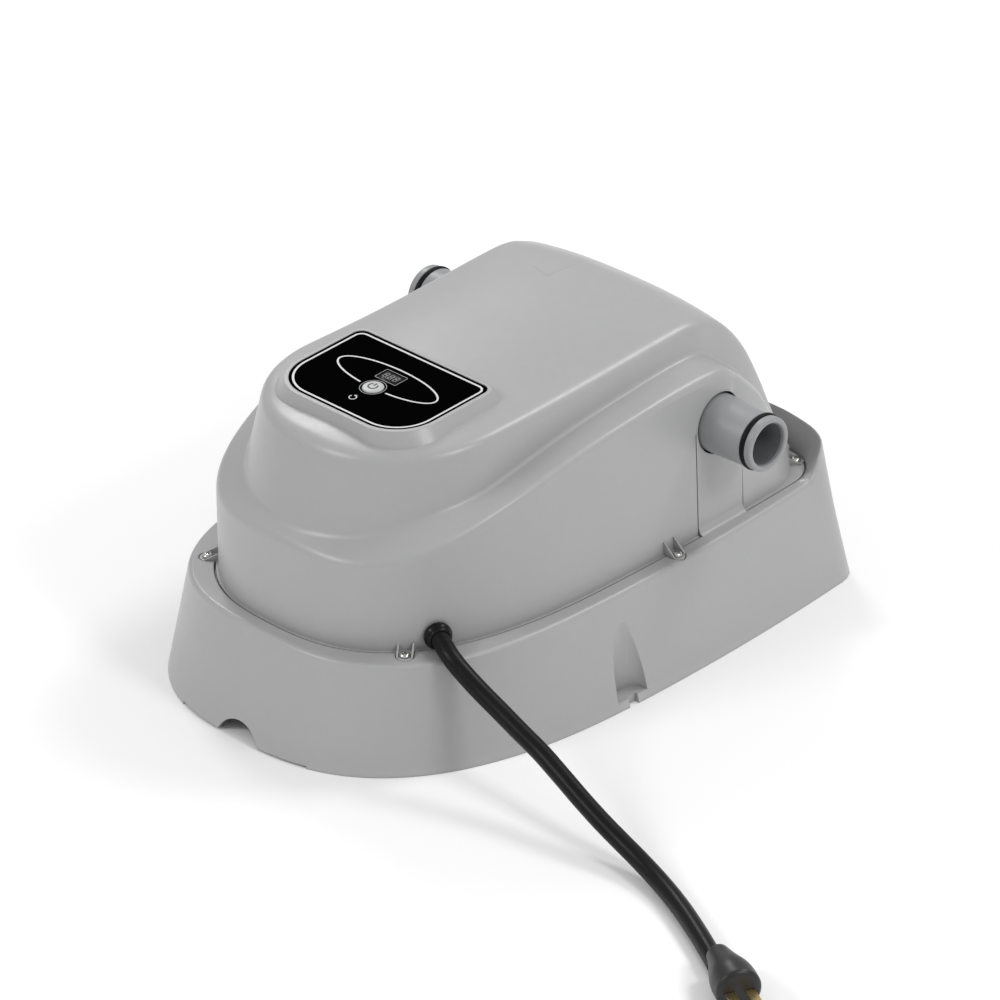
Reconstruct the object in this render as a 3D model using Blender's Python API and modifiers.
"""In-line salt water chlorine generator for above-ground pools.

A low grey tray stands on the ground and carries a stepped cover.  A flow cell lies
across the unit inside, and its two hose ports leave through the sides of the cover.
Frame: +X to the right seen from the rounded front end, -Y the front, +Z up, z = 0 the
ground, X = 0 the plane of symmetry, origin by the middle of the tray's rear foot edge.
Lengths below are in millimetres, and become metres when a mesh or a curve is made.
"""
import bpy
import bmesh
import math
from collections import namedtuple
from mathutils import Matrix, Vector

# ------------------------------------------------------------------ driving dimensions
MM = 0.001
FOOT_SHIFT = -203.8        # Y of the drawing origin, the parent of every piece
GAP = 0.3                  # clearance between neighbouring pieces
SIDES = {"right": 1, "left": -1}

# Plan outlines: a superellipse in front, a slightly tapering side, a rounded back corner
Outline = namedtuple("Outline", "half y_front y_widest exponent back_half y_back corner")
TRAY_FOOT = Outline(154.0, -244.5, -10.0, 2.6, 144.0, 205.2, 25.0)
TRAY_RIM = Outline(134.0, -223.0, -20.0, 3.0, 122.8, 200.8, 31.0)
TRAY_LEDGE = Outline(122.7, -212.2, -20.0, 2.65, 115.7, 195.6, 35.0)
TRAY_WELL_TOP = Outline(114.6, -203.6, -20.0, 2.65, 107.8, 186.0, 40.0)
TRAY_WELL_FOOT = Outline(111.6, -200.6, -20.0, 2.65, 105.0, 183.0, 38.0)
COVER_FLANGE = Outline(121.9, -211.4, -20.0, 2.65, 114.9, 194.6, 34.0)
COVER_FOOT = Outline(120.4, -209.8, -20.0, 2.65, 113.6, 192.0, 50.0)
COVER_SHOULDER = Outline(113.5, -205.0, -20.0, 3.15, 110.5, 200.0, 40.0)
COVER_STEP = Outline(91.0, -197.0, -100.0, 2.1, 91.0, 200.0, 40.0)
COVER_CROWN = Outline(89.0, -178.0, -90.0, 2.2, 86.5, 200.0, 40.0)

# The column grids of cover and tray are split at these stations along Y
FRONT_END_Y = -90.0
SIDE_END_Y = 104.0         # the cover's rear hips start here

# Levels
RIM_Z = 74.0               # flat top of the tray's rim
LEDGE_Z = 71.0             # flat the cover's flange rests on
REAR_CORNER_Z, REAR_WALL_Z = 94.7, 100.0       # wall behind the cover: at its corners, in the middle
DECK_Z = 16.0              # floor of the tray
TRAY_T = 2.8
COVER_T = 2.4
FLANGE_TOP = 73.6

# Lines of the cover: (y, height)
Z_SHOULDER = [
    (-205, 134), (-195, 134.8), (-184, 137), (-168, 142), (-140, 151), (-113, 160),
    (-64, 171.5), (-8, 179.5), (60, 184), (88, 184), (99, 181.4), (108, 175.5)]
Z_STEP = [
    (-198, 142), (-185, 145.2), (-172, 150), (-154, 156), (-138, 160.5), (-113, 164),
    (-93, 167.5), (-30, 179.5), (13, 185.2), (79, 191.5), (91, 190), (104, 181.5)]
Z_CROWN_EDGE = [
    (-178, 196), (-157, 196.5), (-137, 198.6), (-97, 200.2), (-46, 200.8), (31, 205),
    (64, 207.7), (87, 208.9), (98, 207.4), (108, 204.2), (118, 199.6), (128, 191.5),
    (142, 175), (157, 149), (170, 123.5), (181, 102), (190, 86)]
Z_SPINE = [
    (-178, 196), (-170, 198.2), (-160, 200.2), (-150, 202.0), (-130, 205.4), (-104, 208.9),
    (-60, 212.6), (0, 216), (60, 218.8), (86, 218.8), (97, 216.8), (108, 212.3),
    (120, 205.6), (132, 196.6), (142, 186), (150, 175), (160, 157.5), (170, 137),
    (180, 113), (190, 88)]
# The same lines down the rear hips, behind SIDE_END_Y: (x, y, z), and (x, y) for the crown
HIP_SHOULDER = [
    (109.4, 117, 168), (107.6, 134.6, 150.5), (105, 147, 133), (101.5, 162, 110),
    (96.5, 177, 91), (87, 190.8, 78.5)]
HIP_STEP = [
    (91, 112, 175), (90.5, 129, 161.5), (90, 147, 141), (88, 163, 119),
    (85.5, 180, 95), (83.5, 190.6, 82)]
HIP_CROWN = [(86.5, 128), (86, 146), (85, 161), (82.5, 178), (80, 190)]

# Ports
PORT_Y, PORT_Z = 88.3, 147.5
PORT_R, PORT_ROOT_R, PORT_BORE_R = 19.0, 20.0, 15.0
PORT_TIP_X = 158.2
O_RING_X = 150.7
PORT_HOLE_R = 21.6
SLOT_HALF = 23.7           # half-width along Y of the slot under each port
PORT_WALL_X = 118.0        # middle of the cutters that pass through the side walls
PORT_AXIS = (0.0, PORT_Y, PORT_Z)

# Control panel: a flat plateau, tilted with the crown
PANEL_Y, PANEL_Z, PANEL_TILT = -104.5, 210.4, math.radians(3.2)
PANEL_NORMAL = (0.0, -math.sin(PANEL_TILT), math.cos(PANEL_TILT))
PANEL_TURN = (PANEL_TILT, 0.0, 0.0)
LABEL_X, LABEL_Y0, LABEL_Y1 = 59.6, -48.0, 35.0      # label: half-width, front and back
LABEL_RF, LABEL_RB = 30.0, 7.0                       # its corner radii at front and back
LABEL_T, LABEL_LEVEL = 0.75, -0.38                   # thickness, middle against the panel
BUTTON_V = -13.0           # button centre along the panel
BUTTON_R = 7.3
WINDOW_V = 3.5             # display window centre along the panel
WINDOW_SIZE = (16.4, 9.6)

# Ears on the cover's flange, one screw through each: (x, y) on the right-hand side
EARS = [(91.6, -181.2), (126.6, 35.5), (96.3, 185.5)]
EAR_R = 5.6
EAR_T = 2.8
EAR_REACH = 8.0            # length of the web from the ear's centre to the flange
Ear = namedtuple("Ear", "x y side number")
ALL_EARS = [Ear(sign * x, y, side, i) for side, sign in SIDES.items()
            for i, (x, y) in enumerate(EARS, 1)]

# Supply cord
GLAND_Y, GLAND_Z = -158.0, 83.3
GLAND_DIR = (0.886, -0.464, 0.0)
GLAND_R, GLAND_HOLE_R = 9.4, 8.0
CORD_R = 6.3
CORD_INSIDE = [(64.0, -112.0, 43.5), (64.5, -114.0, 52.0), (66.5, -121.0, 63.0),
               (70.5, -132.0, 74.0), (77.0, -144.5, 81.0)]
CORD_IN_GLAND = (-15.0, -4.0, 4.0, 9.5)              # distances along the gland's axis
CORD_OUTSIDE = [
    (118.9, -167.4, 79.4), (130.5, -168.0, 73.0), (145.3, -167.7, 65.4),
    (164.0, -167.6, 57.4), (182.4, -168.1, 50.1), (200.6, -168.6, 43.2),
    (220.9, -171.2, 36.0), (240.0, -173.6, 28.8), (259.7, -175.8, 21.9),
    (278.0, -177.2, 15.8), (296.0, -179.5, 11.2), (315.0, -184.0, 8.2),
    (335.0, -191.0, 6.8), (356.0, -200.5, 6.5), (380.0, -213.0, 6.5), (405.0, -227.0, 6.5)]

# Power supply board
BOARD_X, BOARD_Y, BOARD_Z = 0.0, -70.0, 24.6
BOARD_SIZE = (150.0, 112.0, 1.6)
BOARD_TOP = BOARD_Z + BOARD_SIZE[2] / 2 + GAP
BOARD_POST_X, BOARD_POST_Y = 68.0, 50.0              # posts from the board's centre

# ---------------------------------------------------------------------------- materials
Look = namedtuple("Look", "rgb roughness metallic", defaults=(0.0,))
GREY = Look(rgb=(0.40, 0.40, 0.39), roughness=0.42)
PORT_GREY = Look(rgb=(0.27, 0.285, 0.30), roughness=0.45)
CELL_GREY = Look(rgb=(0.30, 0.31, 0.33), roughness=0.5)
NUT_BLACK = Look(rgb=(0.05, 0.05, 0.055), roughness=0.5)
SENSOR_BLACK = Look(rgb=(0.03, 0.03, 0.03), roughness=0.5)
REED_GLASS = Look(rgb=(0.55, 0.65, 0.6), roughness=0.1)
LABEL_BLACK = Look(rgb=(0.008, 0.008, 0.009), roughness=0.12)
WINDOW_DARK = Look(rgb=(0.05, 0.06, 0.06), roughness=0.05)
BUTTON_GREY = Look(rgb=(0.42, 0.43, 0.44), roughness=0.35)
SATIN_BLACK = Look(rgb=(0.02, 0.02, 0.02), roughness=0.4)
DULL_BLACK = Look(rgb=(0.02, 0.02, 0.02), roughness=0.5)
RUBBER = Look(rgb=(0.02, 0.02, 0.02), roughness=0.6)
LEAD_RED = Look(rgb=(0.45, 0.02, 0.02), roughness=0.4)
CORD_BLACK = Look(rgb=(0.012, 0.012, 0.013), roughness=0.25)
GLAND_BLACK = Look(rgb=(0.010, 0.010, 0.011), roughness=0.22)
LOCK_NUT_BLACK = Look(rgb=(0.012, 0.012, 0.013), roughness=0.4)
PLUG_BLACK = Look(rgb=(0.014, 0.014, 0.015), roughness=0.35)
NYLON = Look(rgb=(0.72, 0.70, 0.64), roughness=0.5)
PCB = Look(rgb=(0.03, 0.16, 0.07), roughness=0.4)
CORE_GREY = Look(rgb=(0.10, 0.10, 0.11), roughness=0.5)
CAPACITOR_BLUE = Look(rgb=(0.03, 0.05, 0.12), roughness=0.3)
RELAY_BLUE = Look(rgb=(0.03, 0.10, 0.35), roughness=0.4)
TERMINAL_GREEN = Look(rgb=(0.05, 0.25, 0.12), roughness=0.45)
RIBBON_GREY = Look(rgb=(0.45, 0.45, 0.47), roughness=0.5)
STEEL = Look(rgb=(0.62, 0.62, 0.60), roughness=0.3, metallic=1.0)
SCREW_STEEL = Look(rgb=(0.55, 0.55, 0.55), roughness=0.28, metallic=1.0)
ALUMINIUM = Look(rgb=(0.55, 0.56, 0.57), roughness=0.4, metallic=1.0)
TITANIUM = Look(rgb=(0.42, 0.41, 0.39), roughness=0.45, metallic=1.0)
COATED = Look(rgb=(0.12, 0.12, 0.13), roughness=0.55, metallic=0.8)
BRASS = Look(rgb=(0.75, 0.58, 0.28), roughness=0.3, metallic=1.0)


def material_for(name, look):
    """Each piece has a material of its own, named after the piece."""
    mat = bpy.data.materials.new("mat_" + name)
    mat.use_nodes = True
    bsdf = next(n for n in mat.node_tree.nodes if n.type == "BSDF_PRINCIPLED")
    bsdf.inputs["Base Color"].default_value = (*look.rgb, 1.0)
    bsdf.inputs["Roughness"].default_value = look.roughness
    bsdf.inputs["Metallic"].default_value = look.metallic
    mat.diffuse_color = (*look.rgb, 1.0)
    return mat


# ------------------------------------------------------------------------ scene set-up
for old in list(bpy.data.objects):
    bpy.data.objects.remove(old, do_unlink=True)
parts = bpy.data.collections.new("salt_chlorine_generator")
tools = bpy.data.collections.new("cutters")
bpy.context.scene.collection.children.link(parts)
bpy.context.scene.collection.children.link(tools)
datum = bpy.data.objects.new("unit_datum", None)
datum.location = (0.0, FOOT_SHIFT * MM, 0.0)
parts.objects.link(datum)


# ---------------------------------------------------------------------- object helpers
def V(x, y, z):
    """Point in metres from millimetres."""
    return Vector((x, y, z)) * MM


def new_object(name, data, look=None):
    """A piece of the product with a look, or a hidden Boolean helper without one."""
    obj = bpy.data.objects.new(name, data)
    if look is None:
        tools.objects.link(obj)
        obj.hide_render = True
        obj.display_type = "WIRE"
    else:
        parts.objects.link(obj)
        data.materials.append(material_for(name, look))
    obj.parent = datum
    return obj


def write_mesh(bm, name, smooth_angle=None):
    """Mesh from a bmesh, smooth up to the given angle in degrees, or left flat."""
    mesh = bpy.data.meshes.new(name)
    bm.to_mesh(mesh)
    bm.free()
    if smooth_angle is not None:
        mesh.shade_smooth()
        mesh.set_sharp_from_angle(angle=math.radians(smooth_angle))
    return mesh


def solid_mesh(bm, name, smooth_angle=None):
    """The same, with the face normals turned outwards first."""
    bmesh.ops.recalc_face_normals(bm, faces=bm.faces[:])
    return write_mesh(bm, name, smooth_angle)


def basis(direction):
    """Rotation whose local Z runs along direction, and whose local X lies level."""
    z = Vector(direction).normalized()
    x = Vector((0, 0, 1)).cross(z)
    if x.length < 1e-6:
        x = Vector((1, 0, 0))
    x.normalize()
    return Matrix((x, z.cross(x), z)).transposed()


def put(obj, at, direction):
    obj.location = V(*at)
    obj.rotation_euler = basis(direction).to_euler()
    return obj


def box(name, size, at, look=None, rotation=(0, 0, 0)):
    bm = bmesh.new()
    bmesh.ops.create_cube(bm, size=1.0)
    bmesh.ops.scale(bm, vec=Vector(size) * MM, verts=bm.verts[:])
    obj = new_object(name, solid_mesh(bm, name), look)
    obj.location = V(*at)
    obj.rotation_euler = rotation
    return obj


def block(name, corner):
    """A six-sided cutter; corner(outer, back, top) gives the (x, y, z) of each corner."""
    bm = bmesh.new()
    bmesh.ops.create_cube(bm, size=1.0)
    for v in bm.verts:
        v.co = V(*corner(v.co.x > 0, v.co.y > 0, v.co.z > 0))
    return new_object(name, solid_mesh(bm, name))


def rod(name, radius, length, at, direction=(0, 0, 1), look=None, seg=20):
    """A cylinder centred on `at`, along `direction`."""
    bm = bmesh.new()
    bmesh.ops.create_cone(bm, cap_ends=True, segments=seg, radius1=radius * MM,
                          radius2=radius * MM, depth=length * MM)
    return put(new_object(name, solid_mesh(bm, name, 35.0), look), at, direction)


def turned(name, profile, at, look, direction=(0, 0, 1), steps=24, closed=False):
    """Profile of (radius, height), turned about `direction`.

    A profile that starts and ends on the axis gives a solid; a closed one gives a ring."""
    bm = bmesh.new()
    verts = [bm.verts.new(V(r, 0, h)) for r, h in profile]
    for a, b in zip(verts, verts[1:]):
        bm.edges.new((a, b))
    if closed:
        bm.edges.new((verts[-1], verts[0]))
    obj = new_object(name, write_mesh(bm, name), look)
    mod = obj.modifiers.new("turn", "SCREW")
    mod.axis = "Z"
    mod.angle = math.tau
    mod.steps = mod.render_steps = steps
    mod.use_merge_vertices = True
    mod.merge_threshold = 0.00001
    mod.use_smooth_shade = True
    return put(obj, at, direction)


def wire(name, points, radius, look, resolution):
    """A round cord along a line of points, with its two ends closed."""
    curve = bpy.data.curves.new(name, "CURVE")
    curve.dimensions = "3D"
    curve.bevel_depth = radius * MM
    curve.bevel_resolution = resolution
    curve.use_fill_caps = True
    curve.resolution_u = 1
    curve.render_resolution_u = 0
    line = curve.splines.new("POLY")
    line.points.add(len(points) - 1)
    for p, q in zip(line.points, points):
        p.co = (*V(*q), 1.0)
    return new_object(name, curve, look)


def plate(name, outline, thickness, at, rotation, look=None):
    """A flat plate from a closed outline, centred on its own thickness."""
    curve = bpy.data.curves.new(name, "CURVE")
    curve.dimensions = "2D"
    curve.fill_mode = "BOTH"
    curve.extrude = thickness * MM / 2
    line = curve.splines.new("POLY")
    line.points.add(len(outline) - 1)
    for p, q in zip(line.points, outline):
        p.co = (q[0] * MM, q[1] * MM, 0.0, 1.0)
    line.use_cyclic_u = True
    shape = bpy.data.objects.new(name + "_outline", curve)
    parts.objects.link(shape)
    bpy.context.view_layer.update()
    deps = bpy.context.evaluated_depsgraph_get()
    mesh = bpy.data.meshes.new_from_object(shape.evaluated_get(deps))
    bpy.data.objects.remove(shape, do_unlink=True)
    bm = bmesh.new()
    bm.from_mesh(mesh)
    bmesh.ops.remove_doubles(bm, verts=bm.verts[:], dist=0.00001)
    obj = new_object(name, solid_mesh(bm, name), look)
    obj.location = V(*at)
    obj.rotation_euler = rotation
    return obj


def boolean(target, other, how):
    mod = target.modifiers.new(how.lower(), "BOOLEAN")
    mod.operation = how
    mod.object = other
    mod.solver = "EXACT"


def cut(target, *others):
    for other in others:
        boolean(target, other, "DIFFERENCE")


def join(target, *others):
    for other in others:
        boolean(target, other, "UNION")


def gang(name, objects):
    """Several separate cutters as one mesh, so that one Boolean does them all."""
    bpy.context.view_layer.update()
    bm = bmesh.new()
    to_datum = Matrix.Translation(-datum.location)
    deps = bpy.context.evaluated_depsgraph_get()
    for obj in objects:
        mesh = bpy.data.meshes.new_from_object(obj.evaluated_get(deps))
        mesh.transform(to_datum @ obj.matrix_world)
        bm.from_mesh(mesh)
        bpy.data.meshes.remove(mesh)
        bpy.data.objects.remove(obj, do_unlink=True)
    return new_object(name, solid_mesh(bm, name))


# ----------------------------------------------------------------------- line helpers
def smoothstep(t):
    t = min(1.0, max(0.0, t))
    return t * t * (3 - 2 * t)


def smooth_value(table, t):
    """Value at t of a smooth curve through the table's (station, value) rows."""
    if t <= table[0][0]:
        return table[0][1]
    if t >= table[-1][0]:
        return table[-1][1]
    i = max(k for k in range(len(table) - 1) if table[k][0] <= t)

    def chord(k):
        return (table[k + 1][1] - table[k][1]) / (table[k + 1][0] - table[k][0])

    def slope(k):
        if k == 0:
            return chord(0)
        if k == len(table) - 1:
            return chord(k - 1)
        a, b = chord(k - 1), chord(k)
        return 0.0 if a * b <= 0 else 2 * a * b / (a + b)

    (x0, y0), (x1, y1) = table[i], table[i + 1]
    h = x1 - x0
    u = (t - x0) / h
    return (y0 * (1 + 2 * u) * (1 - u) ** 2 + slope(i) * h * u * (1 - u) ** 2
            + y1 * u * u * (3 - 2 * u) - slope(i + 1) * h * u * u * (1 - u))


def plan_outline(o, n=220):
    """Half of a plan outline, from the front centre round the right side to the back centre."""
    pts = []
    for i in range(n + 1):
        a = math.pi / 2 * i / n
        pts.append((o.half * math.sin(a) ** (2 / o.exponent),
                    o.y_widest - (o.y_widest - o.y_front) * math.cos(a) ** (2 / o.exponent)))
    for i in range(1, n + 1):
        u = i / n
        pts.append((o.half - (o.half - o.back_half) * u * u,
                    o.y_widest + (o.y_back - o.corner - o.y_widest) * u))
    for i in range(1, n // 2 + 1):
        a = math.pi / 2 * i / (n // 2)
        pts.append((o.back_half - o.corner + o.corner * math.cos(a),
                    o.y_back - o.corner + o.corner * math.sin(a)))
    for i in range(1, n // 4 + 1):
        pts.append(((o.back_half - o.corner) * (1 - i / (n // 4)), o.y_back))
    return pts


def resample(pts, k):
    """k + 1 points at equal steps along a polyline of 2-D or 3-D points."""
    acc = [0.0]
    for a, b in zip(pts, pts[1:]):
        acc.append(acc[-1] + math.dist(a, b))
    out, j = [], 0
    for i in range(k + 1):
        s = acc[-1] * i / k
        while j < len(pts) - 2 and acc[j + 1] < s:
            j += 1
        span = acc[j + 1] - acc[j]
        u = 0.0 if span < 1e-12 else min(1.0, (s - acc[j]) / span)
        out.append(tuple(p + (q - p) * u for p, q in zip(pts[j], pts[j + 1])))
    return out


def x_at(line, y):
    """x of a line of (x, y) points at y."""
    best = line[0][0]
    for (x0, y0), (x1, y1) in zip(line, line[1:]):
        if y0 <= y <= y1 and y1 > y0:
            return x0 + (x1 - x0) * (y - y0) / (y1 - y0)
        if y0 <= y:
            best = x0
    return best


def half_width(outline, y):
    return x_at(plan_outline(outline), y)


def sections(pts, marks, counts):
    """Split a line at its marks (tests on a point) and resample every stretch."""
    out, rest = [], list(pts)
    for test, k in zip(marks + [None], counts):
        if test is None:
            part = rest
        else:
            i = next(j for j, p in enumerate(rest) if test(p))
            part, rest = rest[: i + 1], rest[i:]
        stretch = resample(part, k)
        out += stretch if not out else stretch[1:]
    return out


def spline_points(table, n=12):
    """Catmull-Rom curve through 2-D or 3-D stations."""
    out = []
    for i in range(len(table) - 1):
        p0 = Vector(table[max(i - 1, 0)])
        p1, p2 = Vector(table[i]), Vector(table[i + 1])
        p3 = Vector(table[min(i + 2, len(table) - 1)])
        for k in range(n):
            t = k / n
            out.append(tuple(0.5 * ((2 * p1) + (p2 - p0) * t
                                    + (2 * p0 - 5 * p1 + 4 * p2 - p3) * t * t
                                    + (3 * p1 - p0 - 3 * p2 + p3) * t ** 3)))
    out.append(tuple(table[-1]))
    return out


def arc_between(a, b, c, k):
    """The k - 1 inner points of a quadratic curve from a to c, drawn towards b."""
    return [a * (1 - t) ** 2 + b * 2 * t * (1 - t) + c * t * t for t in (i / k for i in range(1, k))]


def rounded(points, setbacks, cuts):
    """Polyline with its inner corners replaced by soft rounds of the given set-back."""
    pts = [Vector(p) for p in points]
    out = [pts[0]]
    for a, b, c, setback, k in zip(pts, pts[1:], pts[2:], setbacks, cuts):
        p = b + (a - b).normalized() * min(setback, 0.45 * (a - b).length)
        q = b + (c - b).normalized() * min(setback, 0.45 * (c - b).length)
        out += [p] + arc_between(p, b, q, k) + [q]
    out.append(pts[-1])
    return out


def rounded_rect(half, y0, y1, r_front, r_back, seg=5):
    """Outline with one corner radius at the front (y0) and another at the back (y1)."""
    pts = []
    corners = ((half, y0, r_front, -90), (half, y1, r_back, 0),
               (-half, y1, r_back, 90), (-half, y0, r_front, 180))
    for corner_x, corner_y, r, first in corners:
        x = corner_x - math.copysign(r, corner_x)
        y = corner_y + r if corner_y == y0 else corner_y - r
        for i in range(seg + 1):
            a = math.radians(first + 90 * i / seg)
            pts.append((x + r * math.cos(a), y + r * math.sin(a)))
    return pts


def add_grid(bm, columns, skip=None):
    """Skin over columns of points, without row `skip`; equal neighbours merge."""
    cols = [[bm.verts.new(V(*p)) for p in col] for col in columns]
    for a, b in zip(cols, cols[1:]):
        for i in range(len(a) - 1):
            if i != skip:
                bm.faces.new((a[i], a[i + 1], b[i + 1], b[i]))
    bmesh.ops.remove_doubles(bm, verts=bm.verts[:], dist=0.00001)


def mirror(bm):
    """Add the other half about X = 0 and weld the two."""
    for v in bm.verts:
        if abs(v.co.x) < 0.00002:
            v.co.x = 0.0
    copy = bmesh.ops.duplicate(bm, geom=bm.verts[:] + bm.edges[:] + bm.faces[:])["geom"]
    for g in copy:
        if isinstance(g, bmesh.types.BMVert):
            g.co.x = -g.co.x
    bmesh.ops.reverse_faces(bm, faces=[g for g in copy if isinstance(g, bmesh.types.BMFace)])
    bmesh.ops.remove_doubles(bm, verts=bm.verts[:], dist=0.00001)
    bmesh.ops.recalc_face_normals(bm, faces=bm.faces[:])


def past_front(p):
    return p[1] >= FRONT_END_Y


def past_side(p):
    return p[1] >= SIDE_END_Y


# --------------------------------------------------------------------- the cover's skin
COVER_COUNTS = (11, 8, 6)          # columns along the front, the side and the rear hip
BACK_COLUMNS = 4                   # columns across each half of the back
CROWN_ROWS = 4                     # rows from the crown's edge to its spine
CROWN_ROLL = 6.5                   # set-back of the round along the crown's edge
CORNER_CUTS = 2
SPINE_START_Y = -143.0             # front end of the line the crown's rows run to

CROWN_LINE = [p for p in plan_outline(COVER_CROWN) if p[1] <= SIDE_END_Y]
CROWN_LINE += spline_points([(COVER_CROWN.back_half, SIDE_END_Y)] + HIP_CROWN)


def crown_z(x, y):
    """Height of the crown, falling from its spine to its edge."""
    edge, top = smooth_value(Z_CROWN_EDGE, y), smooth_value(Z_SPINE, y)
    r = min(1.0, abs(x) / max(x_at(CROWN_LINE, y), 1e-6))
    return top - (top - edge) * r ** (2.4 - 0.5 * smoothstep((-20.0 - y) / 60.0))


def wall_x(y, z):
    """Outer face of the cover's side wall."""
    low, high = half_width(COVER_FOOT, y), half_width(COVER_SHOULDER, y)
    u = (z - FLANGE_TOP) / (smooth_value(Z_SHOULDER, y) - FLANGE_TOP)
    return low + (high - low) * u


GLAND_AXIS = Vector(GLAND_DIR).normalized()
GLAND_AT = Vector((wall_x(GLAND_Y, GLAND_Z), GLAND_Y, GLAND_Z))


def cover_line(outline, heights, hip):
    """One edge line of the cover, front centre to the foot of the rear hip."""
    pts = [(x, y, smooth_value(heights, y)) for x, y in plan_outline(outline) if y <= SIDE_END_Y]
    pts[-1] = (outline.back_half, SIDE_END_Y, pts[-1][2])
    body = sections(pts, [past_front], COVER_COUNTS[:2])
    tail = resample(spline_points([body[-1]] + hip), COVER_COUNTS[2])
    return [Vector(p) for p in body + tail[1:]]


def cover_foot_line(outline):
    """A level line round the foot of the cover, on to the back centre."""
    marks = [past_front, past_side, lambda p: p[1] > 150.0 and p[0] <= 84.0]
    return sections([(x, y, FLANGE_TOP) for x, y in plan_outline(outline)], marks,
                    (*COVER_COUNTS, BACK_COLUMNS))


def cover_columns():
    """Columns of points up the wall, over the shoulder and the step, and across the crown."""
    flange, foot = cover_foot_line(COVER_FLANGE), cover_foot_line(COVER_FOOT)
    shoulder = cover_line(COVER_SHOULDER, Z_SHOULDER, HIP_SHOULDER)
    step = cover_line(COVER_STEP, Z_STEP, HIP_STEP)
    crown = [Vector((x, y, crown_z(x, y)))
             for x, y in sections(CROWN_LINE, [past_front, past_side], COVER_COUNTS)]
    front = COVER_COUNTS[0]
    columns = []
    for k, edge in enumerate(crown):
        spine = edge.y
        if k <= front:
            spine = SPINE_START_Y + (FRONT_END_Y - SPINE_START_Y) * k / front
        start = min(0.3, CROWN_ROLL / max(1.0, math.hypot(edge.x, edge.y - spine)))
        inward = []
        for j in range(CROWN_ROWS + 1):
            u = start + (1 - start) * j / CROWN_ROWS
            x, y = edge.x * (1 - u), edge.y + (spine - edge.y) * u
            inward.append(Vector((x, y, crown_z(x, y))))
        body = rounded([foot[k], shoulder[k], step[k], edge], (4.6, 3.0),
                       (CORNER_CUTS, CORNER_CUTS))
        lead = body[-2]
        p = edge + (lead - edge).normalized() * min(CROWN_ROLL, 0.45 * (lead - edge).length)
        columns.append([Vector(flange[k])] + body[:-1] + [p]
                       + arc_between(p, edge, inward[0], CORNER_CUTS) + inward)
    return columns


def rear_columns(last):
    """Columns across the back, from the last hip column to the middle."""
    rows = len(last) - CROWN_ROWS
    columns = [last[:rows]]
    height = last[rows - 1].z - FLANGE_TOP
    for j in range(1, CROWN_ROWS + 1):
        u, top = j / CROWN_ROWS, last[rows - 1 + j]
        col = []
        for i, low in enumerate(last[:rows - 1]):
            rise = (low.z - FLANGE_TOP) / height
            y_wall = COVER_FOOT.y_back + (top.y - COVER_FOOT.y_back) * rise
            if i == 0:
                y_wall = COVER_FLANGE.y_back
            col.append(Vector((low.x * (1 - u), low.y + (y_wall - low.y) * min(1.0, 2 * u),
                               FLANGE_TOP + (top.z - FLANGE_TOP) * rise)))
        columns.append(col + [top])
    return columns


def build_cover():
    columns = cover_columns()
    bm = bmesh.new()
    add_grid(bm, columns)
    add_grid(bm, rear_columns(columns[-1]))
    mirror(bm)
    # the skin is open below, so its outside has to be told from the top face
    highest = max(bm.faces, key=lambda f: f.calc_center_median().z)
    if highest.normal.z < 0:
        bmesh.ops.reverse_faces(bm, faces=bm.faces[:])
    cover = new_object("housing_cover", write_mesh(bm, "housing_cover", 40.0), GREY)
    mod = cover.modifiers.new("wall", "SOLIDIFY")
    mod.thickness = COVER_T * MM
    mod.offset = -1.0
    return cover


# ---------------------------------------------------------------------- the tray's skin
TRAY_COUNTS = (11, 7, 6, 2)        # columns: front, side, rear corner, back
INSET = (-1, 1, 0, 0, -1, -1, -0.6)            # change of each Outline value per mm inwards
DECK_LINE_Y = (-150.0, 140.0)      # ends of the middle line the deck's columns run to


def rim_z(x, y):
    """The rim is level along the sides, and climbs round the rear corner to the rear middle."""
    climb = smoothstep((y - 171.0) / 18.0)
    middle = smoothstep((116.0 - abs(x)) / 50.0)
    corner_rise = REAR_CORNER_Z - RIM_Z
    return RIM_Z + (corner_rise + (REAR_WALL_Z - REAR_CORNER_Z) * middle) * climb


def tray_line(outline, inset=0.0):
    marks = [past_front, past_side, lambda p: p[1] > 140.0 and p[0] <= 80.0]
    moved = Outline(*(value + d * inset for value, d in zip(outline, INSET)))
    return sections(plan_outline(moved), marks, TRAY_COUNTS)


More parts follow.
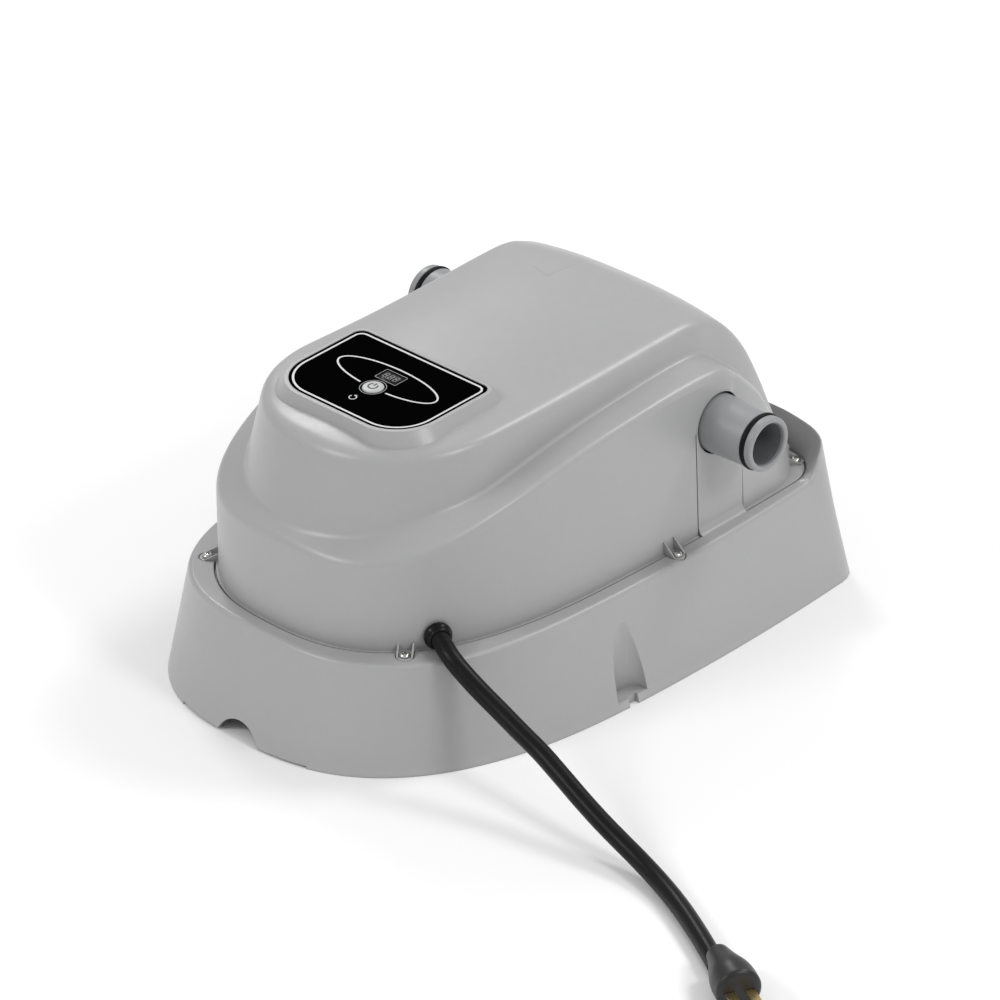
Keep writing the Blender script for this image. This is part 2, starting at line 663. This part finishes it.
def tray_columns():
    """Closed columns of points, and the row in the middle where top and underside part."""
    foot, rim, ledge = tray_line(TRAY_FOOT), tray_line(TRAY_RIM), tray_line(TRAY_LEDGE)
    crest = tray_line(TRAY_LEDGE, -0.5)
    well, deck = tray_line(TRAY_WELL_TOP), tray_line(TRAY_WELL_FOOT)
    foot_in, rim_in = tray_line(TRAY_FOOT, TRAY_T), tray_line(TRAY_RIM, TRAY_T)
    well_out, deck_out = tray_line(TRAY_WELL_TOP, -TRAY_T), tray_line(TRAY_WELL_FOOT, -TRAY_T)
    under = LEDGE_Z - TRAY_T
    columns = []
    for k in range(sum(TRAY_COUNTS) + 1):
        ground = Vector((*foot[k], 0.0))
        outer = rounded([ground, (*rim[k], rim_z(*rim[k])), (*crest[k], RIM_Z),
                         (*ledge[k], LEDGE_Z), (*well[k], LEDGE_Z), (*deck[k], DECK_Z)],
                        (3.2, 0.3, 0.3, 1.0), (3, 1, 1, 1))
        middle_y = max(DECK_LINE_Y[0], min(DECK_LINE_Y[1], deck[k][1]))
        top = [ground, ground.lerp(outer[1], 0.5)] + outer[1:] + [Vector((0.0, middle_y, DECK_Z))]
        # underside, from the middle back out to the foot of the skirt
        ground_in = Vector((*foot_in[k], 0.0))
        inner_top = ground_in.lerp(Vector((*rim_in[k], RIM_Z)), (under - 3.0) / RIM_Z)
        underside = [Vector((0.0, middle_y, DECK_Z - TRAY_T)),
                     Vector((*deck_out[k], DECK_Z - TRAY_T)), Vector((*well_out[k], under)),
                     Vector((inner_top.x, inner_top.y, under)), ground_in, ground]
        columns.append(top + underside)
    return columns, len(top) - 1


def build_tray():
    columns, middle_row = tray_columns()
    bm = bmesh.new()
    add_grid(bm, columns, skip=middle_row)
    mirror(bm)
    return new_object("base_tray", solid_mesh(bm, "base_tray", 35.0), GREY)


# ------------------------------------------------- cutters shared by cover and tray
def port_cylinders(name, radius):
    """Two cylinders on the port axis, one through each side wall."""
    return gang(name, [rod("port_cylinder", radius, 40.0, (sign * PORT_WALL_X, PORT_Y, PORT_Z),
                           (1, 0, 0), seg=28) for sign in SIDES.values()])


def ear_rods(name, radius, length, z, seg):
    """An upright cylinder at every ear."""
    return [rod(name, radius, length, (ear.x, ear.y, z), seg=seg) for ear in ALL_EARS]


def ear_boxes(name, width, height, z):
    """A box at every ear, reaching from its centre in towards the cover."""
    boxes = []
    for ear in ALL_EARS:
        inward = Vector((-ear.x, 0.0 if ear.number == 2 else -ear.y * 0.62, 0)).normalized()
        at = (ear.x + inward.x * EAR_REACH / 2, ear.y + inward.y * EAR_REACH / 2, z)
        turn = math.atan2(inward.y, inward.x) - math.pi / 2
        boxes.append(box(name, (width, EAR_REACH, height), at, rotation=(0, 0, turn)))
    return boxes


# ------------------------------------------------- openings and bosses of the cover
SLOT_FOOT_Z = 60.0                 # lower end of the port slot cutters
BOSS_U, BOSS_V = 36.5, (-36.0, 22.0)           # panel bosses: half-spacing across, places along
EAR_FOOT_Z = LEDGE_Z + GAP


def panel_point(across, along, above=0.0):
    """Point on the panel: across in X, along towards the back, above its plane."""
    c, s = math.cos(PANEL_TILT), math.sin(PANEL_TILT)
    return (across, PANEL_Y + along * c - above * s, PANEL_Z + along * s + above * c)


def panel_prism(name, lower, upper, bottom, top):
    """Solid between two panel outlines of equal count, at two heights above the panel."""
    bm = bmesh.new()
    a = [bm.verts.new(V(*panel_point(x, y, bottom))) for x, y in lower]
    b = [bm.verts.new(V(*panel_point(x, y, top))) for x, y in upper]
    bm.faces.new(list(reversed(a)))
    bm.faces.new(b)
    for i in range(len(a)):
        j = (i + 1) % len(a)
        bm.faces.new((a[i], a[j], b[j], b[i]))
    return new_object(name, solid_mesh(bm, name))


def window_box(name, grow, height, above, look=None):
    """A box over the display window, larger than it by `grow` each way."""
    size = (WINDOW_SIZE[0] + grow, WINDOW_SIZE[1] + grow, height)
    return box(name, size, panel_point(0, WINDOW_V, above), look, PANEL_TURN)


def shape_cover(cover):
    plateau = panel_prism(
        "panel_plateau",
        rounded_rect(LABEL_X + 16.0, LABEL_Y0 - 10.0, LABEL_Y1 + 8.0, 41.0, 13.0),
        rounded_rect(LABEL_X + 2.6, LABEL_Y0 - 2.6, LABEL_Y1 + 2.4, 32.0, 9.0), -14.0, 0.35)
    inside = rounded_rect(57.0, -45.0, 31.0, 26.0, 5.0, seg=3)
    cavity = panel_prism("panel_cavity", inside, inside, -16.0, -3.4)
    seat = rounded_rect(LABEL_X + GAP, LABEL_Y0 - GAP, LABEL_Y1 + GAP,
                        LABEL_RF + GAP, LABEL_RB + GAP)
    recess = panel_prism("label_recess", seat, seat, -1.15, 3.0)
    ears = gang("ear_mass", ear_rods("ear", EAR_R, EAR_T, EAR_FOOT_Z + EAR_T / 2, 14))
    webs = gang("web_mass", ear_boxes("ear_web", 2 * EAR_R - 0.4, 2.7, EAR_FOOT_Z + 1.35))
    join(cover, plateau, ears, webs)

    slots = [box("port_slot", (40.0, 2 * SLOT_HALF, PORT_Z - SLOT_FOOT_Z),
                 (sign * PORT_WALL_X, PORT_Y, (PORT_Z + SLOT_FOOT_Z) / 2))
             for sign in SIDES.values()]
    button_hole = rod("button_hole", BUTTON_R + 2 * GAP, 12.0, panel_point(0, BUTTON_V, -2.5),
                      PANEL_NORMAL, seg=24)
    window_hole = window_box("window_hole", 4 * GAP, 8.0, -2.5)
    ear_holes = ear_rods("ear_hole", 2.15, 20.0, 74.0, 10)
    gland_hole = rod("gland_hole", GLAND_HOLE_R, 24.0, GLAND_AT, GLAND_DIR, seg=16)
    cut(cover, port_cylinders("port_openings", PORT_HOLE_R), gang("port_slots", slots),
        cavity, recess, gang("panel_holes", [button_hole, window_hole]),
        gang("small_holes", ear_holes + [gland_hole]))

    bosses = [rod("panel_boss", 3.2, 7.2, panel_point(across, along, -6.0), PANEL_NORMAL, seg=8)
              for along in BOSS_V for across in (BOSS_U, -BOSS_U)]
    join(cover, gang("panel_bosses", bosses))


# --------------------------------------------------------- features of the tray
# Tie-down pocket: an upright half-round recess in each side of the skirt, with a slotted foot
POCKET_X, POCKET_Y = 152.6, -32.5
POCKET_R, POCKET_WALL, POCKET_FOOT = 13.5, 2.6, 6.0
SKIRT_SLOPE = 0.277                # how far the skirt leans in per mm of height


def port_tab(side, sign):
    """Upright tab that fills the cover's slot under a port."""
    def corner(outer, back, top):
        y = PORT_Y + (SLOT_HALF - GAP) * (1 if back else -1)
        z = PORT_Z - GAP if top else LEDGE_Z - 1.4
        x = wall_x(y, max(z, FLANGE_TOP)) - (0.0 if outer else 4.6)
        return sign * x, y, z
    return block("port_tab_" + side, corner)


def tab_foot(side, sign):
    """Low block that ties the port tab to the rim."""
    def corner(outer, back, top):
        y = PORT_Y + (SLOT_HALF - GAP) * (1 if back else -1)
        x = half_width(TRAY_LEDGE, y) + 1.6 if outer else wall_x(y, FLANGE_TOP) - 4.0
        return sign * x, y, RIM_Z - 0.15 if top else LEDGE_Z - 1.2
    return block("tab_foot_" + side, corner)


def pocket_limit(sign):
    """Space behind the skirt's face, which the pocket's wall must not leave."""
    def corner(outer, back, top):
        z = 68.0 if top else 0.2
        x = TRAY_FOOT.half - 1.1 - SKIRT_SLOPE * z if outer else 120.0
        return sign * x, POCKET_Y + (30.0 if back else -30.0), z
    return block("pocket_limit", corner)


def pocket_plugs():
    """The pockets' walls, before they are bored."""
    plugs, limits = [], []
    for sign in SIDES.values():
        plug = rod("pocket_plug", POCKET_R + POCKET_WALL, 64.0, (sign * POCKET_X, POCKET_Y, 32.2))
        limit = pocket_limit(sign)
        boolean(plug, limit, "INTERSECT")
        plugs.append(plug)
        limits.append(limit)
    mass = gang("pocket_plugs", plugs)
    for limit in limits:
        bpy.data.objects.remove(limit, do_unlink=True)
    return mass


def shape_tray(tray):
    posts = ear_rods("pilot_post", 4.4, 9.6, LEDGE_Z - 5.4, 10)
    posts += [rod("board_post", 4.0, 9.0, (BOARD_X + x, BOARD_Y + y, DECK_Z + 3.0), seg=8)
              for x in (-BOARD_POST_X, BOARD_POST_X) for y in (-BOARD_POST_Y, BOARD_POST_Y)]
    join(tray, pocket_plugs(),
         gang("tab_mass", [port_tab(side, sign) for side, sign in SIDES.items()]),
         gang("foot_mass", [tab_foot(side, sign) for side, sign in SIDES.items()]),
         gang("pilot_posts", posts))

    bores = [rod("pocket_bore", POCKET_R, 70.0, (sign * POCKET_X, POCKET_Y, POCKET_FOOT + 35.0))
             for sign in SIDES.values()]
    slots = [box("tie_slot", (9.0, 8.4, 20.0), (sign * 154.5, POCKET_Y, 5.0))
             for sign in SIDES.values()]
    cut(tray, port_cylinders("cradles", PORT_ROOT_R + 0.35),
        gang("pocket_bores", bores), gang("tie_slots", slots),
        gang("ear_pockets", ear_rods("ear_pocket", EAR_R + 0.6, 30.0, LEDGE_Z + 14.9, 14)),
        gang("ear_ways", ear_boxes("ear_way", 2 * EAR_R + 0.8, 29.0, LEDGE_Z + 14.44)),
        gang("pilot_holes", ear_rods("pilot", 2.0, 16.0, 66.0, 8)),
        rod("hose_notch", 20.0, 60.0, (0, -240.0, -7.0), (0, 1, 0), seg=24))


# -------------------------------------------------------------- control panel pieces
# Profiles are (radius, height above the panel)
BUTTON_PROFILE = [(0, 1.1), (5.6, 1.0), (6.9, 0.6), (BUTTON_R, 0.0), (BUTTON_R, -3.7),
                  (8.9, -3.7), (8.9, -4.6), (0, -4.6)]
PLUNGER_PROFILE = [(0, -4.9), (1.7, -4.9), (1.7, -7.4), (0, -7.4)]


def build_label():
    outline = rounded_rect(LABEL_X, LABEL_Y0, LABEL_Y1, LABEL_RF, LABEL_RB)
    label = plate("control_label", outline, LABEL_T, panel_point(0, 0, LABEL_LEVEL), PANEL_TURN,
                  LABEL_BLACK)
    button_hole = rod("label_button_hole", BUTTON_R + GAP, 6.0, panel_point(0, BUTTON_V),
                      PANEL_NORMAL, seg=24)
    cut(label, gang("label_openings", [button_hole, window_box("label_window", 2 * GAP, 6.0, 0)]))
    window_box("display_window", 0, LABEL_T, LABEL_LEVEL, WINDOW_DARK)


def build_button():
    """The button, and the small switch below it."""
    at = panel_point(0, BUTTON_V)
    turned("power_button", BUTTON_PROFILE, at, BUTTON_GREY, PANEL_NORMAL)
    turned("tact_switch_plunger", PLUNGER_PROFILE, at, DULL_BLACK, PANEL_NORMAL, steps=12)
    tact = box("tact_switch_body", (6.0, 6.0, 3.4), panel_point(0, BUTTON_V, -8.0), STEEL,
               PANEL_TURN)
    cut(tact, rod("plunger_bore", 1.95, 2.8, panel_point(0, BUTTON_V, -7.3), PANEL_NORMAL, seg=12))


def build_control_board():
    box("display_module", (15.0, 8.4, 8.2), panel_point(0, WINDOW_V, -5.6), SATIN_BLACK,
        PANEL_TURN)
    box("control_board", (83.0, 69.0, 1.6), panel_point(0, -7.0, -10.9), PCB, PANEL_TURN)


# ------------------------------------------------------------------------- flow cell
# Profiles are (radius, distance from X = 0)
CELL_PROFILE = [(35, 70), (35, 66), (31, 66), (31, -66), (35, -66), (35, -70), (27, -70),
                (27, 70)]
GROOVE_HALF = 1.75                 # half-width of the O-ring groove
PORT_PROFILE = [
    (15.6, PORT_TIP_X), (17.7, PORT_TIP_X), (PORT_R, 156.7), (PORT_R, O_RING_X + GROOVE_HALF),
    (16.3, O_RING_X + GROOVE_HALF), (16.3, O_RING_X - GROOVE_HALF),
    (19.05, O_RING_X - GROOVE_HALF), (PORT_ROOT_R, PORT_WALL_X), (PORT_ROOT_R, 76.8),
    (33.0, 76.8), (33.0, 72.2), (PORT_BORE_R, 72.2), (PORT_BORE_R, 157.6)]
UNION_NUT_PROFILE = [(38.5, 81.0), (38.5, 63.0), (35.4, 63.0), (35.4, 77.1), (20.4, 77.1),
                     (20.4, 81.0)]
SEAL_PROFILE = [(32.6, 71.9), (32.6, 70.3), (28.0, 70.3), (28.0, 71.9)]
RING_R, RING_SECTION_R = 18.1, 1.5
RING_PROFILE = [(RING_R + RING_SECTION_R * math.sin(a), O_RING_X + RING_SECTION_R * math.cos(a))
                for a in (math.tau * i / 8 for i in range(8))]
SENSOR_X = 95.0                    # flow switch on the left port, salinity probe on the right
SADDLE_X, SADDLE_SIZE = 48.0, (10.0, 66.0, 104.0)
NECK_SIZE = (84.0, 36.0)           # plan of the neck, its gasket and its cap
CAP_Z = 190.5
TERMINAL_X = 22.0
PLATE_OFFSETS = (-9.0, -3.0, 3.0, 9.0)         # electrode plates, along Y from the axis
PLATE_Z = 148.0


def build_cell_body():
    cell = turned("cell_body", CELL_PROFILE, PORT_AXIS, CELL_GREY, (1, 0, 0), closed=True)
    join(cell, box("cell_neck", (*NECK_SIZE, 20.0), (0, PORT_Y, 176.5)))
    cut(cell, box("cell_neck_inside", (76.0, 28.0, 36.0), (0, PORT_Y, 171.0)))


def build_port(side, sign):
    """Port fitting with its union nut, face seal and O-ring."""
    out = (sign, 0, 0)
    port = turned("port_fitting_" + side, PORT_PROFILE, PORT_AXIS, PORT_GREY, out, closed=True)
    cut(port, rod("probe_hole", 6.3, 20.0, (sign * SENSOR_X, PORT_Y, PORT_Z + 20.0), seg=14))
    turned("union_nut_" + side, UNION_NUT_PROFILE, PORT_AXIS, NUT_BLACK, out, closed=True)
    turned("port_seal_" + side, SEAL_PROFILE, PORT_AXIS, RUBBER, out, steps=20, closed=True)
    turned("o_ring_" + side, RING_PROFILE, PORT_AXIS, RUBBER, out, closed=True)


def build_saddle(side, sign):
    """Upright stand that carries one end of the cell."""
    x = sign * SADDLE_X
    saddle = box("cell_saddle_" + side, SADDLE_SIZE,
                 (x, PORT_Y, DECK_Z + GAP + SADDLE_SIZE[2] / 2), GREY)
    cut(saddle, rod("saddle_round", 31.3, 30.0, (x, PORT_Y, PORT_Z), (1, 0, 0), seg=24),
        box("saddle_window", (30.0, 40.0, 60.0), (x, PORT_Y, 58.0)))


def build_comb(side, sign):
    """Slotted holder for the ends of the electrode plates."""
    comb = box("electrode_comb_" + side, (5.0, 25.0, 30.0), (sign * 37.0, PORT_Y, PLATE_Z), NYLON)
    slots = [box("comb_slot", (3.0, 1.8, 40.0), (sign * 35.3, PORT_Y + offset, PLATE_Z))
             for offset in PLATE_OFFSETS]
    cut(comb, gang("comb_slots", slots))


def build_electrodes():
    for i, offset in enumerate(PLATE_OFFSETS, 1):
        box("electrode_plate_%d" % i, (72.0, 1.2, 40.0), (0, PORT_Y + offset, PLATE_Z),
            COATED if i % 2 else TITANIUM)


def build_cell_cap():
    gasket = box("cell_cap_gasket", (*NECK_SIZE, 1.4), (0, PORT_Y, 187.5), RUBBER)
    cut(gasket, box("gasket_opening", (75.0, 27.0, 6.0), (0, PORT_Y, 187.5)))
    cap = box("cell_cap", (*NECK_SIZE, 4.0), (0, PORT_Y, CAP_Z), CELL_GREY)
    mod = cap.modifiers.new("edge", "BEVEL")
    mod.width = 1.0 * MM
    mod.segments = 1
    mod.limit_method = "ANGLE"
    cut(cap, gang("cap_holes", [rod("cap_hole", 2.8, 20.0, (x, PORT_Y, CAP_Z), seg=12)
                                for x in (-TERMINAL_X, TERMINAL_X)]))
    for name, x in (("anode_terminal", -TERMINAL_X), ("cathode_terminal", TERMINAL_X)):
        stud = rod(name, 2.4, 29.0, (x, PORT_Y, 183.9), look=TITANIUM, seg=12)
        join(stud, box("terminal_foot", (7.0, 22.0, 2.0), (x, PORT_Y, 169.4)))


# ------------------------------------------------------- flow switch and salinity probe
SENSOR_TOP = 180.0
SENSOR_HEAD = [(0, SENSOR_TOP), (7.0, SENSOR_TOP), (8.0, SENSOR_TOP - 1), (8.0, 171.5),
               (10.5, 170.6), (10.5, 167.9), (6.0, 167.9)]         # (radius, z)
PIVOT_X, PIVOT_Z = -SENSOR_X, 158.6
PIVOT = (PIVOT_X, PORT_Y, PIVOT_Z)
PIN_R = 1.1


def build_flow_switch():
    """Switch body with two lugs, which hold the paddle's pin."""
    switch = turned("flow_switch_body", SENSOR_HEAD + [(6.0, 162.2), (0, 162.2)],
                    (-SENSOR_X, PORT_Y, 0), SENSOR_BLACK, steps=16)
    lugs = [box("pin_lug", (4.4, 1.9, 8.0), (-SENSOR_X, PORT_Y + offset, 160.2))
            for offset in (-4.15, 4.15)]
    join(switch, gang("pin_lugs", lugs))
    cut(switch, rod("reed_bore", 3.0, 24.0, (-SENSOR_X, PORT_Y, 178.0), seg=12),
        rod("pin_bore", PIN_R + 0.25, 20.0, PIVOT, (0, 1, 0), seg=12))
    rod("reed_switch", 2.4, 12.0, (-SENSOR_X, PORT_Y, 172.6), look=REED_GLASS, seg=10)
    rod("paddle_pin", PIN_R, 10.0, PIVOT, (0, 1, 0), STEEL, seg=16)


def build_paddle():
    """Paddle hanging in the bore of the left port."""
    paddle = rod("flow_paddle", 2.3, 5.6, PIVOT, (0, 1, 0), NYLON, seg=16)
    join(paddle, box("paddle_stem", (1.6, 5.0, 5.0), (PIVOT_X, PORT_Y, PIVOT_Z - 3.4)),
         box("paddle_blade", (1.7, 12.0, 16.6), (PIVOT_X, PORT_Y, PIVOT_Z - 12.5)))
    cut(paddle, rod("paddle_bore", PIN_R + 0.07, 20.0, PIVOT, (0, 1, 0), seg=16))


def build_salinity_probe():
    turned("salinity_probe", SENSOR_HEAD + [(6.0, 157.0), (4.5, 155.5), (0, 155.5)],
           (SENSOR_X, PORT_Y, 0), SENSOR_BLACK, steps=16)


# ----------------------------------------------------------------------- inner wiring
# name, radius, look, points (x, y, z) from the cell down to the power board
WIRING = [
    ("anode_lead", 1.3, LEAD_RED,
     [(-22, 88, 200.3), (-26, 70, 201), (-34, 30, 190), (-46, -10, 130), (-48, -34, 70),
      (-48, -46, 40)]),
    ("cathode_lead", 1.3, SATIN_BLACK,
     [(22, 88, 200.3), (18, 70, 201), (6, 30, 190), (-28, -8, 130), (-40, -34, 70),
      (-40, -46, 40)]),
    ("flow_switch_cable", 1.2, DULL_BLACK,
     [(-95, 87, 182.6), (-88, 60, 181.4), (-84, 20, 172), (-76, -20, 110), (-68, -40, 60),
      (-66, -42, 31)]),
    ("salinity_cable", 1.2, DULL_BLACK,
     [(95, 87, 182.6), (88, 60, 181.4), (84, 20, 172), (62, -12, 110), (42, -26, 60),
      (40, -28, 31)]),
]
RIBBON_PATH = [(-62, 27.0), (-62, 60), (-68, 100), (-80, 150), (-86, 180), (-86, 198.4)]  # (y, z)
RIBBON_WIDTH, RIBBON_T = 18.0, 1.0


def build_ribbon():
    """Flat cable: a line in the YZ plane given a width along X."""
    bm = bmesh.new()
    rows = []
    for i, (y, z) in enumerate(RIBBON_PATH):
        a, b = RIBBON_PATH[max(i - 1, 0)], RIBBON_PATH[min(i + 1, len(RIBBON_PATH) - 1)]
        along = Vector((0, b[0] - a[0], b[1] - a[1])).normalized()
        normal = Vector((0, -along.z, along.y)) * RIBBON_T / 2
        middle = Vector((0, y, z))
        rows.append([bm.verts.new((middle + normal * s + Vector((w * RIBBON_WIDTH / 2, 0, 0))) * MM)
                     for s, w in ((-1, -1), (-1, 1), (1, 1), (1, -1))])
    for a, b in zip(rows, rows[1:]):
        for k in range(4):
            bm.faces.new((a[k], a[(k + 1) % 4], b[(k + 1) % 4], b[k]))
    bm.faces.new(rows[0])
    bm.faces.new(list(reversed(rows[-1])))
    new_object("ribbon_cable", solid_mesh(bm, "ribbon_cable"), RIBBON_GREY)


# ---------------------------------------------------------------------- power supply
TRANSFORMER_X, TRANSFORMER_Y = -40.0, -95.0
SINK_X, SINK_Y = 44.0, -62.0
FIN_GAPS, FIN_PITCH = 6, 7.2


def on_board(name, size, x, y, look):
    """A box standing on the power board."""
    return box(name, size, (x, y, BOARD_TOP + size[2] / 2), look)


def build_power_supply():
    box("power_board", BOARD_SIZE, (BOARD_X, BOARD_Y, BOARD_Z), PCB)
    core = on_board("transformer", (50.0, 20.0, 42.0), TRANSFORMER_X, TRANSFORMER_Y, CORE_GREY)
    join(core, box("transformer_coil", (34.0, 42.0, 29.0),
                   (TRANSFORMER_X, TRANSFORMER_Y, BOARD_TOP + 21.0)))
    sink = on_board("heat_sink", (44.0, 30.0, 36.0), SINK_X, SINK_Y, ALUMINIUM)
    first_gap = SINK_X - FIN_PITCH * (FIN_GAPS - 1) / 2
    gaps = [box("fin_gap", (4.0, 40.0, 40.0), (first_gap + FIN_PITCH * i, SINK_Y, BOARD_TOP + 25.0))
            for i in range(FIN_GAPS)]
    cut(sink, gang("fin_gaps", gaps))
    turned("capacitor", [(0, 27.0), (9.2, 27.0), (10.0, 26.2), (10.0, 0), (0, 0)],
           (22.0, -100.0, BOARD_TOP), CAPACITOR_BLUE, steps=14)
    on_board("relay", (20.0, 15.0, 16.0), 8.0, -30.0, RELAY_BLUE)
    on_board("output_terminal_block", (26.0, 12.0, 12.6), -43.5, -46.0, TERMINAL_GREEN)
    on_board("supply_terminal_block", (20.0, 16.0, 13.0), 64.0, -112.0, TERMINAL_GREEN)


# ------------------------------------------------------------------- supply cord
# Profiles are (radius, distance along the axis)
GLAND_PROFILE = [(6.8, 8.4), (7.8, 8.0), (8.4, 5.2), (GLAND_R, 4.0), (GLAND_R, 1.4),
                 (7.65, 1.4), (7.65, -11.0), (6.8, -11.0)]
PLUG_PROFILE = [(0, 44.0), (12.5, 44.0), (14.5, 42.0), (14.5, 28.0), (9.5, 12.0), (7.0, 0.4),
                (0, 0.4)]
LOCK_NUT_INSET = 7.4               # from the wall's outer face in to the nut's middle
PLUG_LIFT = 8.7                    # plug axis above the cord's end
PIN_OFFSET, PIN_AHEAD = 6.35, 52.8             # plug pins: sideways and ahead of the cord's end


def build_gland():
    turned("cable_gland", GLAND_PROFILE, GLAND_AT, GLAND_BLACK, GLAND_DIR, steps=18, closed=True)
    nut_at = GLAND_AT - GLAND_AXIS * LOCK_NUT_INSET
    nut = rod("gland_lock_nut", 11.6, 4.4, nut_at, GLAND_DIR, LOCK_NUT_BLACK, seg=6)
    cut(nut, rod("lock_nut_bore", 7.95, 20.0, nut_at, GLAND_DIR, seg=18))


def build_cord():
    in_gland = [tuple(GLAND_AT + GLAND_AXIS * d) for d in CORD_IN_GLAND]
    wire("power_cord", spline_points(CORD_INSIDE + in_gland + CORD_OUTSIDE, 2), CORD_R - 0.05,
         CORD_BLACK, resolution=2)


def build_mains_plug():
    end = Vector(CORD_OUTSIDE[-1])
    aim = (end - Vector(CORD_OUTSIDE[-2])).normalized()
    foot = end + Vector((0, 0, PLUG_LIFT))
    turned("mains_plug", PLUG_PROFILE, foot, PLUG_BLACK, aim, steps=16)
    across = Vector((-aim.y, aim.x, 0.0))
    for i, sign in enumerate((-1, 1), 1):
        box("plug_pin_%d" % i, (6.3, 1.5, 17.0),
            foot + across * PIN_OFFSET * sign + aim * PIN_AHEAD, BRASS, basis(aim).to_euler())


# ------------------------------------------------------------------- cover screws
SCREW_TOP = 76.9
SCREW_PROFILE = [(0, SCREW_TOP), (2.2, 76.7), (3.3, 75.9), (3.6, 75.0), (3.6, 74.4),
                 (1.75, 74.4), (1.75, 60.5), (0, 60.5)]            # (radius, z)
ARM, HALF = 1.9, 0.45              # cross recess: length and half-width of an arm
CROSS = [(ARM, -HALF), (ARM, HALF), (HALF, HALF), (HALF, ARM), (-HALF, ARM), (-HALF, HALF),
         (-ARM, HALF), (-ARM, -HALF), (-HALF, -HALF), (-HALF, -ARM), (HALF, -ARM), (HALF, -HALF)]


def build_screw(ear):
    screw = turned("cover_screw_%s_%d" % (ear.side, ear.number), SCREW_PROFILE,
                   (ear.x, ear.y, 0), SCREW_STEEL, steps=12)
    cut(screw, plate("cross_recess", CROSS, 2.4, (ear.x, ear.y, SCREW_TOP), (0, 0, 0.2)))


# ------------------------------------------------------------------------ the whole unit
shape_cover(build_cover())
shape_tray(build_tray())
build_label()
build_button()
build_control_board()
build_cell_body()
for side_name, side_sign in SIDES.items():
    build_port(side_name, side_sign)
    build_saddle(side_name, side_sign)
    build_comb(side_name, side_sign)
build_electrodes()
build_cell_cap()
build_flow_switch()
build_paddle()
build_salinity_probe()
for wire_name, wire_radius, wire_look, wire_points in WIRING:
    wire(wire_name, wire_points, wire_radius, wire_look, resolution=1)
build_ribbon()
build_power_supply()
build_gland()
build_cord()
build_mains_plug()
for screw_ear in ALL_EARS:
    build_screw(screw_ear)
